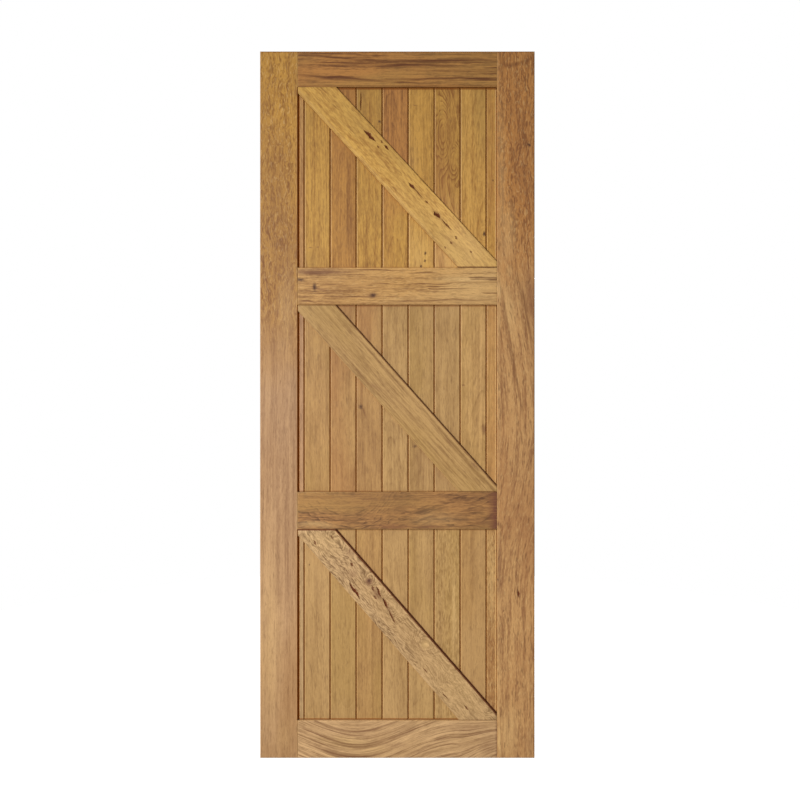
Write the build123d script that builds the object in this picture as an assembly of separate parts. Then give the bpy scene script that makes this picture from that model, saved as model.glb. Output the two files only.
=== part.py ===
from build123d import *
import os
from math import floor, sqrt

# Boarded door leaf: two stiles and four rails make a grooved frame with three bays. Each bay is
# filled with vee-jointed tongued-and-grooved boards and stiffened by one sloping brace.
# Millimetres. X runs across the leaf, Y through it with the braced face at -Y, and Z is up.
# The origin is the middle of the bottom edge.

# Leaf
leaf_height = 2100.0
leaf_width = 816.0
leaf_thickness = 40.0

# Stiles and rails, as wide as they show on the face
stile_width = 112.0
top_rail_width = 106.0
middle_rail_width = 110.0
bottom_rail_width = 112.0
top_bay_share = 0.323
middle_bay_share = 0.335
outer_arris = 2.5
arris = 1.2

# Groove ploughed in the inner edges of the frame, in line with the tenons
groove_width = 12.0
groove_depth = 12.0

# Haunched through tenons, each held by two wedges driven in from the edge of the stile
haunch_width = 36.0
wedge_head = 7.0
wedge_length_share = 0.7

# Boards, each as wide as it covers from joint to joint
board_thickness = 24.0
board_cover = 77.5
first_board_cover = 18.5
narrowest_board_cover = 15.0
vee = 2.5
tongue_thickness = 8.0
tongue_length = 8.0
board_gap = 0.5
shoulder_gap = 0.3
tongue_side_clearance = 0.2
tongue_end_clearance = 1.5

# Braces, with a blunt nose against the stile and a long seat on the rail
brace_width = 96.0
brace_nose = 18.0
brace_clearance = 0.4

# Brads that pin each brace to the whole boards behind it, punched below its face and stopped
brad_length = 25.0
brad_width = 1.2
brad_cover = 1.0
low_brad_share = 0.3
high_brad_share = 0.7

# How far a cutting tool runs past the stock
overrun = 20.0

# Places worked out from the sizes above
half_width = leaf_width / 2
half_thickness = leaf_thickness / 2
half_bay = half_width - stile_width
bay_width = 2 * half_bay
frame_tongue = groove_width - 2 * tongue_side_clearance
frame_tongue_length = groove_depth - tongue_end_clearance
wedge_length = wedge_length_share * stile_width

rail_widths = {
    "bottom_rail": bottom_rail_width,
    "lower_middle_rail": middle_rail_width,
    "upper_middle_rail": middle_rail_width,
    "top_rail": top_rail_width,
}
free_height = leaf_height - sum(rail_widths.values())
bay_heights = {
    "bottom": (1 - middle_bay_share - top_bay_share) * free_height,
    "middle": middle_bay_share * free_height,
    "top": top_bay_share * free_height,
}


def stack_frame():
    """Heights between which each rail and each bay lies, from the bottom edge up."""
    rails, bays = {}, {}
    height = 0.0
    for rail, bay in zip(rail_widths, [*bay_heights, None]):
        rails[rail] = (height, height + rail_widths[rail])
        height += rail_widths[rail]
        if bay:
            bays[bay] = (height, height + bay_heights[bay])
            height += bay_heights[bay]
    return rails, bays


def block(x, y, z):
    """A box between two places on each axis."""
    size = [high - low for low, high in (x, y, z)]
    middle = [(high + low) / 2 for low, high in (x, y, z)]
    return Pos(*middle) * Box(*size)


def eased_section(across, through, low_ease, high_ease):
    """Section of a bar with eased edges: through it on the first axis, across it on the second."""
    half = through / 2
    return Polygon(
        (-half + low_ease, 0),
        (half - low_ease, 0),
        (half, low_ease),
        (half, across - high_ease),
        (half - high_ease, across),
        (-half + high_ease, across),
        (-half, across - high_ease),
        (-half, low_ease),
        align=None,
    )


def upright(low_x, high_x, through, low_ease, high_ease, low_z, high_z):
    """A bar that stands between two heights, with its long edges eased."""
    section = eased_section(high_x - low_x, through, low_ease, high_ease)
    floor_plane = Plane(origin=(low_x, 0, low_z), x_dir=(0, -1, 0), z_dir=(0, 0, 1))
    return extrude(floor_plane * section, high_z - low_z)


def crosswise(half_length, low_z, high_z, low_ease, high_ease):
    """A bar as thick as the leaf that lies across it, with its long edges eased."""
    section = eased_section(high_z - low_z, leaf_thickness, low_ease, high_ease)
    end_plane = Plane(origin=(-half_length, 0, low_z), x_dir=(0, 1, 0), z_dir=(1, 0, 0))
    return extrude(end_plane * section, 2 * half_length)


def front_panel(points, front_y, depth):
    """A flat piece cut to an outline of (x, z) points, reaching back from front_y."""
    front_plane = Plane(origin=(0, front_y, 0), x_dir=(1, 0, 0), z_dir=(0, -1, 0))
    return extrude(front_plane * Polygon(*points, align=None), depth, dir=(0, 1, 0))


def tenon_heights(rail):
    """Lower and upper edge of a rail's tenon, clear of its grooves and haunches."""
    low, high = rails[rail]
    low += haunch_width if rail == "bottom_rail" else groove_depth
    high -= haunch_width if rail == "top_rail" else groove_depth
    return low, high


def mortise(rail):
    """Tapered slot through the left stile for a rail's tenon and its two wedges."""
    low, high = tenon_heights(rail)
    outline = [
        (-half_bay + overrun, low),
        (-half_bay + overrun, high),
        (-half_bay, high),
        (-half_width, high + wedge_head),
        (-half_width - overrun, high + wedge_head),
        (-half_width - overrun, low - wedge_head),
        (-half_width, low - wedge_head),
        (-half_bay, low),
    ]
    return front_panel(outline, -groove_width / 2, groove_width)


def left_stile():
    """Stile with eased edges, a groove along its inner edge and a mortise for each rail."""
    stile = upright(-half_width, -half_bay, leaf_thickness, outer_arris, arris, 0, leaf_height)
    stile &= crosswise(half_width + overrun, 0, leaf_height, outer_arris, outer_arris)
    stile -= block(
        (-half_bay - groove_depth, -half_bay + overrun),
        (-groove_width / 2, groove_width / 2),
        (-overrun, leaf_height + overrun),
    )
    for rail in rail_widths:
        stile -= mortise(rail)
    return stile


def rail_piece(rail):
    """Rail with grooved edges, eased shoulders, and a haunched through tenon at each end."""
    low, high = rails[rail]
    at_bottom, at_top = rail == "bottom_rail", rail == "top_rail"
    low_ease = outer_arris if at_bottom else arris
    high_ease = outer_arris if at_top else arris
    piece = crosswise(half_bay, low, high, low_ease, high_ease)
    piece &= upright(-half_bay, half_bay, leaf_thickness, arris, arris, low, high)
    in_groove = (-groove_width / 2, groove_width / 2)
    along_rail = (-half_bay - overrun, half_bay + overrun)
    if not at_bottom:
        piece -= block(along_rail, in_groove, (low - overrun, low + groove_depth))
    if not at_top:
        piece -= block(along_rail, in_groove, (high - groove_depth, high + overrun))
    piece += block((-half_width, half_width), in_groove, tenon_heights(rail))
    haunch_reach = (-half_bay - groove_depth, half_bay + groove_depth)
    if at_bottom:
        piece += block(haunch_reach, in_groove, (low, low + haunch_width))
    if at_top:
        piece += block(haunch_reach, in_groove, (high - haunch_width, high))
    return piece


def tenon_wedges():
    """Hardwood wedges, one above and one below the end of every tenon."""
    tip_height = wedge_head * (1 - wedge_length_share)
    tip_x = half_width - wedge_length
    wedges = []
    for rail in rail_widths:
        low, high = tenon_heights(rail)
        for side in (-1, 1):
            for edge, away in ((low, -1), (high, 1)):
                outline = [
                    (side * half_width, edge),
                    (side * half_width, edge + away * wedge_head),
                    (side * tip_x, edge + away * tip_height),
                    (side * tip_x, edge),
                ]
                wedges.append(front_panel(outline, -groove_width / 2, groove_width))
    return Compound(wedges)


def joint_places():
    """Where the boards of a bay meet, from the left stile to the right one."""
    spare_width = bay_width - first_board_cover - narrowest_board_cover
    whole_boards = floor(spare_width / board_cover)
    first_joint = -half_bay + first_board_cover
    inner_joints = [first_joint + number * board_cover for number in range(whole_boards + 1)]
    return [-half_bay, *inner_joints, half_bay]


def board(low_joint, high_joint, is_first, is_last, bay):
    """Vee-jointed board: grooved on its left, tongued on its right and at both ends.

    The first and last board of a bay have a thicker tongue where they enter the stile."""
    low_z, high_z = bays[bay]
    left = low_joint + (shoulder_gap if is_first else board_gap / 2)
    right = high_joint - (shoulder_gap if is_last else board_gap / 2)
    bottom = low_z - frame_tongue_length
    top = high_z + frame_tongue_length
    piece = upright(left, right, board_thickness, vee, vee, bottom, top)

    in_tongue = (-tongue_thickness / 2, tongue_thickness / 2)
    in_frame = (-frame_tongue / 2, frame_tongue / 2)
    middle = (left + right) / 2
    if is_first:
        piece += block((low_joint - frame_tongue_length, middle), in_frame, (bottom, top))
    else:
        slot_half = tongue_thickness / 2 + tongue_side_clearance
        slot_depth = tongue_length + tongue_end_clearance
        slot = ((left - overrun, left + slot_depth), (-slot_half, slot_half))
        piece -= block(*slot, (bottom - overrun, top + overrun))
    if is_last:
        piece += block((middle, high_joint + frame_tongue_length), in_frame, (bottom, top))
    else:
        piece += block((middle, right + tongue_length), in_tongue, (bottom, top))

    across = (left - overrun, right + overrun)
    for side in (-1, 1):
        shoulder = sorted((side * frame_tongue / 2, side * (half_thickness + overrun)))
        piece -= block(across, shoulder, (bottom - overrun, low_z + shoulder_gap))
        piece -= block(across, shoulder, (high_z - shoulder_gap, top + overrun))
    return piece


def brace_seat(width, height):
    """Length of a brace's seat on the rail, for which its long edges lie brace_width apart.

    The long edges run from the seat's end to the nose's end, so the seat solves a quadratic."""
    rise = height - brace_nose
    lean = rise - brace_nose
    area = width * rise
    a = lean**2 - brace_width**2
    b = area * lean
    c = area**2 - (brace_width * rise) ** 2
    run = (b - sqrt(b**2 - a * c)) / a
    return width - run


def brace_places(bay):
    """Left, right, bottom and top of a brace, and the length of its seats."""
    low_z, high_z = bays[bay]
    left, right = -half_bay + brace_clearance, half_bay - brace_clearance
    bottom, top = low_z + brace_clearance, high_z - brace_clearance
    return left, right, bottom, top, brace_seat(right - left, top - bottom)


def brace(bay):
    """Brace that falls from the top left corner of a bay to the bottom right one."""
    left, right, bottom, top, seat = brace_places(bay)
    outline = [
        (left, top - brace_nose),
        (right - seat, bottom),
        (right, bottom),
        (right, bottom + brace_nose),
        (left + seat, top),
        (left, top),
    ]
    piece = front_panel(outline, -half_thickness, half_thickness - board_thickness / 2)
    front_face = piece.faces().sort_by(Axis.Y)[0]
    return chamfer(front_face.edges(), arris)


def brads(bay, low_joint, high_joint):
    """Two brads through a brace into the board between two joints, one near each long edge."""
    left, right, bottom, top, seat = brace_places(bay)
    x = (low_joint + high_joint) / 2
    fall = (top - bottom - brace_nose) / (right - left - seat)
    low = max(bottom, top - brace_nose - fall * (x - left))
    high = min(top, bottom + brace_nose + fall * (right - x))
    half = brad_width / 2
    head_y = -half_thickness + brad_cover
    pair = []
    for share in (low_brad_share, high_brad_share):
        z = low + share * (high - low)
        pair.append(block((x - half, x + half), (head_y, head_y + brad_length), (z - half, z + half)))
    return pair


rails, bays = stack_frame()
joints = joint_places()
last_number = len(joints) - 1

pieces = {"lock_stile": left_stile(), "tenon_wedges": tenon_wedges()}
pieces["hinge_stile"] = mirror(pieces["lock_stile"], about=Plane.YZ)
for rail in rail_widths:
    pieces[rail] = rail_piece(rail)

all_brads = []
for bay in bays:
    pinned_brace = brace(bay)
    for number in range(1, last_number + 1):
        low_joint, high_joint = joints[number - 1], joints[number]
        is_first, is_last = number == 1, number == last_number
        fitted_board = board(low_joint, high_joint, is_first, is_last, bay)
        if not (is_first or is_last):
            for brad in brads(bay, low_joint, high_joint):
                fitted_board -= brad
                pinned_brace -= brad
                all_brads.append(brad)
        pieces[f"{bay}_board_{number}"] = fitted_board
    pieces[f"{bay}_brace"] = pinned_brace
pieces["brace_brads"] = Compound(all_brads)

os.makedirs("parts", exist_ok=True)
for name, piece in pieces.items():
    export_step(piece, f"parts/{name}.step")
print(f"{len(pieces)} pieces, {last_number} boards in each bay, {len(all_brads)} brads")
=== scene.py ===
# %% [markdown]
# # A boarded timber door leaf
# The real door is joinery: two stiles and four rails make a frame, vee-jointed boards fill its three bays,
# and a sloping brace is planted across the boards of each bay. Everything is oiled hardwood.
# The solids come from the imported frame, at their real size in metres, with the braced face towards -Y.
# They could be painted as they are, but a sawn plank has softened arrises, splits and knots, so most of
# them are copied, worked over and shown in place of the plain solid.

# %% Load the frame and note its box
import math

import bmesh
import bpy
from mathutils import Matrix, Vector, noise


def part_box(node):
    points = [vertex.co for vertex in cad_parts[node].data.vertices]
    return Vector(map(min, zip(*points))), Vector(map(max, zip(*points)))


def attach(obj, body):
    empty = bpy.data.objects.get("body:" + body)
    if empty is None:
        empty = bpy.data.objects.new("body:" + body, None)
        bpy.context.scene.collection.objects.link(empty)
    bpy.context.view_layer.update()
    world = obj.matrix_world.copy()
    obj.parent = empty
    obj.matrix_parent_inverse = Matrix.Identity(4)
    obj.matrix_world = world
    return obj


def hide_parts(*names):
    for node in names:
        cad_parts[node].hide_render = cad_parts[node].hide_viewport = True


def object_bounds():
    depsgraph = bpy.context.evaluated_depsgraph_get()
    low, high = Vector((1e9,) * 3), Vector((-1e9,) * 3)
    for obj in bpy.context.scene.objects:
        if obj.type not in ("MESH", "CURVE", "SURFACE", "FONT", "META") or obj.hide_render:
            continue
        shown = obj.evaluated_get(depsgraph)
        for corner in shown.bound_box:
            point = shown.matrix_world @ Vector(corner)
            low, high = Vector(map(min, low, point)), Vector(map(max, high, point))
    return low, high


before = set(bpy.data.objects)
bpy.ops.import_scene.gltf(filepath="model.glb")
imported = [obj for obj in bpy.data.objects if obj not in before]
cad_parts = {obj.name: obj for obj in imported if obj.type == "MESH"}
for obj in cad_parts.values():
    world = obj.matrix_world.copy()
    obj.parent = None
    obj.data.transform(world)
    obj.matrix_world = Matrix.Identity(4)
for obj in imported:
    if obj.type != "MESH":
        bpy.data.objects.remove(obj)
cad_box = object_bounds()
mm = 0.001
door_low, door_high = cad_box
front = door_low.y
print("frame loaded:", len(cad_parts), "nodes, box", [round(side, 3) for side in door_high - door_low])

# %% [markdown]
# ## The camera
# The photograph looks at the door square on, from about breast height, so the camera stands on the -Y side
# and is only turned upright. The lens follows from how much of the door's plane fills the picture.
# A plain calculation is used in place of a constraint, so the view can be read from four numbers.

# %% Stand the camera in front of the door
view_distance = 2.4
view_height = 2.3755
view_centre = Vector((0.0078, front, 1.0640))
camera_data = bpy.data.cameras.new("front_camera")
camera_data.lens = camera_data.sensor_width * view_distance / view_height
camera = bpy.data.objects.new("front_camera", camera_data)
camera.location = view_centre - Vector((0, view_distance, 0))
camera.rotation_euler = (math.radians(90), 0, 0)
scene = bpy.context.scene
scene.collection.objects.link(camera)
scene.camera = camera
scene.view_settings.view_transform = "Standard"
print("camera", round(camera_data.lens, 1), "mm lens,", view_distance, "m away")

# %% [markdown]
# ## Small helpers for shader nodes
# Every material here is a net of nodes. One helper makes a node, sets its options and fills its inputs, with
# a value or with another node's output. The rest are the few steps that come back all the time.

# %% Helpers for nodes
def fill(tree, socket, value):
    """Give an input a value, or link another node's output to it."""
    if isinstance(value, bpy.types.NodeSocket):
        tree.links.new(value, socket)
    else:
        socket.default_value = value


def add_node(tree, kind, inputs=None, **options):
    """A shader node with its options set and its inputs filled by values or by other nodes' outputs."""
    made = tree.nodes.new("ShaderNode" + kind)
    for name, value in options.items():
        setattr(made, name, value)
    for name, value in (inputs or {}).items():
        fill(tree, made.inputs[name], value)
    return made


def maths(tree, operation, first, second=0.0):
    """One sum on numbers."""
    return add_node(tree, "Math", {0: first, 1: second}, operation=operation).outputs[0]


def vector_maths(tree, operation, first, second=(0, 0, 0)):
    """One sum on vectors; a length or a dot product comes out as a number."""
    made = add_node(tree, "VectorMath", {0: first, 1: second}, operation=operation)
    return made.outputs["Value" if operation in ("LENGTH", "DOT_PRODUCT") else "Vector"]


def scaled(tree, vector, factor):
    """A vector times a number that may vary."""
    return add_node(tree, "VectorMath", {0: vector, "Scale": factor}, operation="SCALE").outputs["Vector"]


def ramp(tree, value, start, end, low=0.0, high=1.0):
    """A smooth step of a value from low at start to high at end."""
    inputs = {"Value": value, "From Min": start, "From Max": end, "To Min": low, "To Max": high}
    return add_node(tree, "MapRange", inputs, interpolation_type="SMOOTHSTEP").outputs[0]


def mixed(tree, factor, first, second):
    """A blend of two colours, which a Mix node takes at its sockets 6 and 7 and gives at socket 2."""
    return add_node(tree, "Mix", {"Factor": factor, 6: first, 7: second}, data_type="RGBA").outputs[2]


def grained_noise(tree, place, density, detail=2.0, output="Factor"):
    """Noise with its own density across, through and along the grain, in marks to the metre."""
    stretched = vector_maths(tree, "MULTIPLY", place, density)
    made = add_node(tree, "TexNoise", {"Vector": stretched, "Scale": 1.0, "Detail": detail})
    return made.outputs[0 if output == "Factor" else 1]


def srgb(red, green, blue):
    """A colour as it is read off a screen, from 0 to 255, turned into the linear light that shaders use."""
    def linear(level):
        share = level / 255
        return share / 12.92 if share <= 0.04045 else ((share + 0.055) / 1.055) ** 2.4
    return (linear(red), linear(green), linear(blue), 1.0)


print("node helpers ready; a mid oak tone is", [round(level, 3) for level in srgb(180, 140, 90)])

# %% [markdown]
# ## Floor and light
# The photograph is a studio shot on white: no cast shadow, one crisp light from the left that draws every
# vee and shadow line, and a pale surround that fills the rest. An upright softbox stands to the left. Its
# spread is limited and it's aimed low, so the head of the door is a little dimmer, as it is in the
# photograph. A second one stands behind the door and only serves those who walk round it. The world is white
# to the eye but lights the door more softly, so the key still shapes it. The floor is a pale disc that glows
# a little, as a light table does, which keeps it white.

# %% Floor, softbox and world
floor_radius = 2.6
floor_drop = 0.5 * mm
floor_mesh = bpy.data.meshes.new("floor")
floor_shape = bmesh.new()
bmesh.ops.create_circle(floor_shape, cap_ends=True, segments=96, radius=floor_radius)
bmesh.ops.translate(floor_shape, verts=floor_shape.verts, vec=(0, 0, -floor_drop))
floor_shape.to_mesh(floor_mesh)
floor_shape.free()
floor = bpy.data.objects.new("floor", floor_mesh)
scene.collection.objects.link(floor)
floor_paper = bpy.data.materials.new("floor_paper")
floor_paper.use_nodes = True
paper = floor_paper.node_tree.nodes["Principled BSDF"]
paper.inputs["Base Color"].default_value = (0.9, 0.9, 0.9, 1)
paper.inputs["Roughness"].default_value = 0.9
paper.inputs["Emission Color"].default_value = (1, 1, 1, 1)
paper.inputs["Emission Strength"].default_value = 0.75
floor_mesh.materials.append(floor_paper)
floor.visible_diffuse = False
floor.visible_glossy = False

softbox_width, softbox_height = 0.5, 1.0
softbox_spread = math.radians(85)


def softbox(name, place, target, energy):
    """An upright softbox that is aimed at a place; the camera sees its light but not the box."""
    data = bpy.data.lights.new(name, "AREA")
    data.shape = "RECTANGLE"
    data.size = softbox_width
    data.size_y = softbox_height
    data.spread = softbox_spread
    data.energy = energy
    light = bpy.data.objects.new(name, data)
    light.location = place
    light.rotation_euler = (target - place).to_track_quat("-Z", "Y").to_euler()
    light.visible_camera = False
    scene.collection.objects.link(light)


softbox("left_softbox", Vector((-2.3, -3.1, 1.7)), Vector((0.1, front, 0.4)), energy=33)
softbox("back_softbox", Vector((2.3, 3.1, 1.9)), Vector((-0.1, -front, 0.9)), energy=30)

surround_light = 0.42
world = bpy.data.worlds.new("white_studio")
world.use_nodes = True
scene.world = world
air = world.node_tree
seen_directly = add_node(air, "LightPath").outputs["Is Camera Ray"]
surround = add_node(air, "MapRange", {"Value": seen_directly, "To Min": surround_light, "To Max": 1.0})
surround_shader = air.nodes["Background"]
surround_shader.inputs["Color"].default_value = (1, 1, 1, 1)
air.links.new(surround.outputs[0], surround_shader.inputs["Strength"])
print("floor, two softboxes and surround in place")

# %% [markdown]
# ## What timber looks like
# A board is a slice of a tree. The growth rings are tubes round the heart, so cut along the grain they show
# as straight lines, and where the tube leans they close into arches. Over that lie fine fibres, broad bands
# of paler and darker wood, short flecks, open pores and a few dark mineral streaks. Painting that on each
# face could never match at the corners. So the pattern is a solid one, in grain space: X across the piece, Y
# through it and Z along the grain. End grain then shows on the ends by itself.
# One node group holds the recipe, and each piece of timber feeds it its own numbers.

# %% The timber group
timber_inputs = {
    "Vector": ["Grain", "Heart", "Lean"],
    "Float": ["Seed", "Pitch", "Rings", "Wander", "Curl", "Fibre", "Bands", "Mottle", "Flecks", "Dashes",
              "Lines", "Mineral", "Rays", "Knot", "Swirl", "Push", "Stain", "Streak", "Pale", "Grime", "Oil",
              "Arris", "Split", "End grain"],
    "Color": ["Light tone", "Dark tone", "Drift tone"],
}
timber_outputs = {"Color": ["Colour"], "Float": ["Roughness", "Height"]}
timber_group = bpy.data.node_groups.new("timber", "ShaderNodeTree")
for side, sockets in (("INPUT", timber_inputs), ("OUTPUT", timber_outputs)):
    for kind, names in sockets.items():
        for name in names:
            timber_group.interface.new_socket(name, in_out=side, socket_type="NodeSocket" + kind)
print("timber group takes", sum(len(names) for names in timber_inputs.values()), "inputs")

# %% [markdown]
# ### Rings
# The grain never runs dead straight: it wanders slowly along the length, in a burr it curls tightly, and a
# push draws it aside in one place. All are shifts of the place before the rings are drawn. A knot is a side
# branch, and the rings flow round it, so a knot adds a hump to the ring count, which closes the lines into
# loops. No ring is drawn with one even stroke, so a patchy noise makes each one fade and come back.

# %% Bent grain and growth rings
tree = timber_group
given = tree.nodes.new("NodeGroupInput").outputs
seed_step = (3.1, 1.7, 5.3)
half = (0.5, 0.5, 0.5)
fine_bend = 1.6 * mm
year_pace, year_swing = 45.0, 2.5
late_power, faintest_year = 2.0, 0.35


def share(mask, amount):
    """Part of a number."""
    return maths(tree, "MULTIPLY", mask, amount)


def bend(density, detail, amount):
    """A shift of the grain by noise, in metres."""
    sway = vector_maths(tree, "SUBTRACT", grained_noise(tree, seeded, density, detail, "Colour"), half)
    return scaled(tree, sway, amount)


seeded = vector_maths(tree, "ADD", given["Grain"], scaled(tree, seed_step, given["Seed"]))
shift = bend((7, 7, 1.3), 2, given["Wander"])
for more in (bend((26, 26, 13), 2, given["Curl"]), bend((70, 70, 9), 1, fine_bend),
             add_node(tree, "CombineXYZ", {"X": given["Push"]}).outputs[0]):
    shift = vector_maths(tree, "ADD", shift, more)
bent = vector_maths(tree, "ADD", given["Grain"], shift)
bent_seeded = vector_maths(tree, "ADD", seeded, shift)
along = add_node(tree, "SeparateXYZ", {0: bent}).outputs["Z"]
heart_here = vector_maths(tree, "ADD", given["Heart"], scaled(tree, given["Lean"], along))
from_heart = vector_maths(tree, "MULTIPLY", vector_maths(tree, "SUBTRACT", bent, heart_here), (1, 1, 0))
radius = vector_maths(tree, "LENGTH", from_heart)
years = maths(tree, "DIVIDE", radius, given["Pitch"])
uneven_years = add_node(tree, "TexNoise", {"W": share(radius, year_pace), "Scale": 1.0},
                        noise_dimensions="1D").outputs[0]
years = maths(tree, "ADD", years, share(uneven_years, year_swing))
years = maths(tree, "ADD", years, given["Swirl"])
late_wood = maths(tree, "POWER", maths(tree, "FRACT", years), late_power)
year_strength = add_node(tree, "TexWhiteNoise", {"W": maths(tree, "FLOOR", years)},
                         noise_dimensions="1D").outputs["Value"]
rings = share(late_wood, maths(tree, "ADD", year_strength, faintest_year))
patches = grained_noise(tree, seeded, (60, 60, 22), 2)
rings = share(rings, ramp(tree, patches, 0.36, 0.6, 0.25, 1.1))
print("rings use", len(tree.nodes), "nodes")

# %% [markdown]
# ### Fibres, bands, flecks and pores
# These are all noise drawn out along the grain, each at its own scale: fibres a couple of millimetres wide
# and a hand long, bands as wide as a finger, dark flecks and pale ray flecks short and dense, pores fine as a
# needle scratch, thin dark lines and long mineral streaks. They follow the bent place, so they run with the
# rings. Only the slow drift towards another tone lies across them.

# %% Fibres, bands, flecks, pores and mineral streaks
def along_grain(across, length, detail):
    """Noise that runs with the bent grain, with its density across and along it."""
    return grained_noise(tree, bent_seeded, (across, across, length), detail)


def swing(value, amount):
    """A noise turned into a push to either side of nothing."""
    return share(maths(tree, "SUBTRACT", value, 0.5), amount)


fibres = along_grain(260, 9, 3)
bands = along_grain(75, 1.8, 2)
mottle = along_grain(42, 13, 2)
flecks = along_grain(230, 62, 2)
dashes = ramp(tree, along_grain(240, 32, 1), 0.58, 0.72)
pores = ramp(tree, along_grain(1700, 75, 1), 0.58, 0.70)
lines = ramp(tree, along_grain(200, 4.5, 2), 0.57, 0.68)
mineral = ramp(tree, along_grain(58, 1.7, 3), 0.56, 0.72)
rays = ramp(tree, along_grain(290, 60, 1), 0.57, 0.68)
drift = ramp(tree, grained_noise(tree, seeded, (9, 9, 2.4), 2), 0.38, 0.66)
resting_darkness = 0.25
darkness = share(rings, given["Rings"])
for value, name, gain in ((fibres, "Fibre", 5.0), (bands, "Bands", 4.0),
                          (mottle, "Mottle", 3.0), (flecks, "Flecks", 6.0)):
    darkness = maths(tree, "ADD", darkness, swing(value, share(given[name], gain)))
darkness = add_node(tree, "Clamp", {"Value": maths(tree, "ADD", darkness, resting_darkness)}).outputs[0]
print("figure uses", len(tree.nodes), "nodes so far")

# %% [markdown]
# ### Colour, sheen and relief
# The dark share blends the two tones of the piece, and a slow drift pulls parts of it towards a third. The
# other layers follow, each over the last: pale patches with painted highlights, ray flecks, mineral streaks
# and thin lines, dashes and pores, rubbed arrises, thirsty dark end grain, stains, knots, painted warm bounce
# light in a shaded corner, lines of painted shade, and last the splits together with lines of painted shadow,
# which hold no light at all. Stains and streaks are broken up by the fibres. Dark late wood, open pores,
# splits and the painted shadow lines are also rougher, and pores and late wood lie lower.

# %% Colour, sheen and relief out of the group
mineral_brown = srgb(98, 54, 25)
pore_brown = srgb(96, 62, 34)
stain_brown = srgb(106, 62, 42)
knot_brown = srgb(74, 44, 30)
# The colour of painted shade in vees, in corners and along arrises that face away from the light.
grime_brown = srgb(126, 66, 4)
# The colour of open splits, and of the painted shadow lines that are drawn with them.
split_black = srgb(94, 40, 4)
# The colour of painted warm bounce light in a shaded corner.
oil_orange = srgb(220, 122, 20)
# The colour of pale wood, ray flecks and rubbed arrises, and of painted highlights.
pale_wood = srgb(226, 186, 124)
end_brown = srgb(112, 76, 44)
broken = ramp(tree, fibres, 0.35, 0.55, 0.55, 1.0)
rubbed = ramp(tree, bands, 0.35, 0.6, 0.05, 0.3)
soaked = ramp(tree, fibres, 0.3, 0.62, 0.6, 1.0)
layers = [
    (share(drift, 0.4), given["Drift tone"]),
    (given["Pale"], pale_wood),
    (share(rays, given["Rays"]), pale_wood),
    (share(mineral, given["Mineral"]), mineral_brown),
    (share(lines, given["Lines"]), mineral_brown),
    (share(given["Streak"], broken), mineral_brown),
    (share(dashes, given["Dashes"]), pore_brown),
    (share(pores, 0.35), pore_brown),
    (share(given["Arris"], rubbed), pale_wood),
    (share(given["End grain"], 0.5), end_brown),
    (share(maths(tree, "MINIMUM", given["Stain"], 1.0), soaked), stain_brown),
    (given["Knot"], knot_brown),
    # Painted warm bounce light, then painted shade, then splits with painted shadow lines.
    (given["Oil"], oil_orange),
    (given["Grime"], grime_brown),
    (given["Split"], split_black),
]
colour = mixed(tree, darkness, given["Light tone"], given["Dark tone"])
for amount, paint in layers:
    colour = mixed(tree, amount, colour, paint)
sheen = 0.40
for mask, amount in ((darkness, 0.14), (pores, 0.2), (given["Split"], 0.35), (given["Arris"], -0.06)):
    sheen = maths(tree, "ADD", sheen, share(mask, amount))
relief = maths(tree, "ADD", swing(fibres, 0.8), swing(flecks, 0.5))
for mask, amount in ((pores, 0.8), (rings, 0.25)):
    relief = maths(tree, "SUBTRACT", relief, share(mask, amount))
taken = tree.nodes.new("NodeGroupOutput")
for name, socket in (("Colour", colour), ("Roughness", sheen), ("Height", relief)):
    tree.links.new(socket, taken.inputs[name])
print("timber group holds", len(tree.nodes), "nodes")

# %% [markdown]
# ## One material for each piece of timber
# No two planks in a door are alike, so each gets its own material, made by one function from a tone, the
# place of its heart and how lively its figure is. Tones are names for pairs of colours: first the light one's
# red, green and blue, then the dark one's. Four more are for the drift.

# %% Tones
tone_levels = {
    "golden": (197, 149, 71, 141, 94, 39),
    "ochre": (197, 146, 65, 140, 91, 34),
    "honey": (214, 166, 82, 166, 116, 50),
    "straw": (224, 177, 100, 176, 128, 68),
    "chestnut": (190, 137, 66, 132, 86, 37),
    "russet": (195, 136, 70, 128, 81, 38),
    "olive": (198, 149, 72, 144, 99, 41),
    "rosy": (192, 146, 87, 144, 100, 55),
    "pink": (186, 146, 103, 139, 101, 67),
    "tan": (184, 145, 91, 137, 100, 56),
    "dun": (181, 139, 84, 134, 94, 50),
    "oat": (200, 157, 98, 148, 109, 61),
    "blush": (180, 138, 97, 133, 93, 61),
    "fallow": (192, 146, 92, 144, 100, 60),
    "amber": (206, 157, 80, 152, 104, 46),
    "cream": (197, 160, 113, 112, 81, 48),
    "wheat": (197, 150, 88, 144, 102, 53),
    "ash": (188, 153, 107, 136, 104, 68),
    "fawn": (212, 171, 121, 146, 109, 71),
    "umber": (184, 127, 66, 116, 72, 35),
    "walnut": (166, 119, 69, 98, 64, 37),
}
tones = {name: (srgb(*levels[:3]), srgb(*levels[3:])) for name, levels in tone_levels.items()}
drift_tones = {
    "red": srgb(160, 106, 60),
    "brown": srgb(154, 108, 56),
    "olive": srgb(166, 130, 68),
    "pale": srgb(196, 156, 102),
}
print(len(tones), "tones:", ", ".join(tones))

# %% [markdown]
# ### Marks
# Marks such as knots and stains are soft ellipses on the piece's own face, placed in millimetres from the
# middle of the door's foot. A Mapping node moves, turns and scales the place, so a mark is just a short
# distance. Painted shade, painted shadow, painted bounce light and painted highlights lie along straight
# lines, which are given as a way across the line, how far along that way the line lies, its width, its
# strength and, if it isn't endless, its two ends.

# %% Marks on a face
mark_depth = 12 * mm
line_core = 0.45
line_fade = 2 * mm


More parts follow.
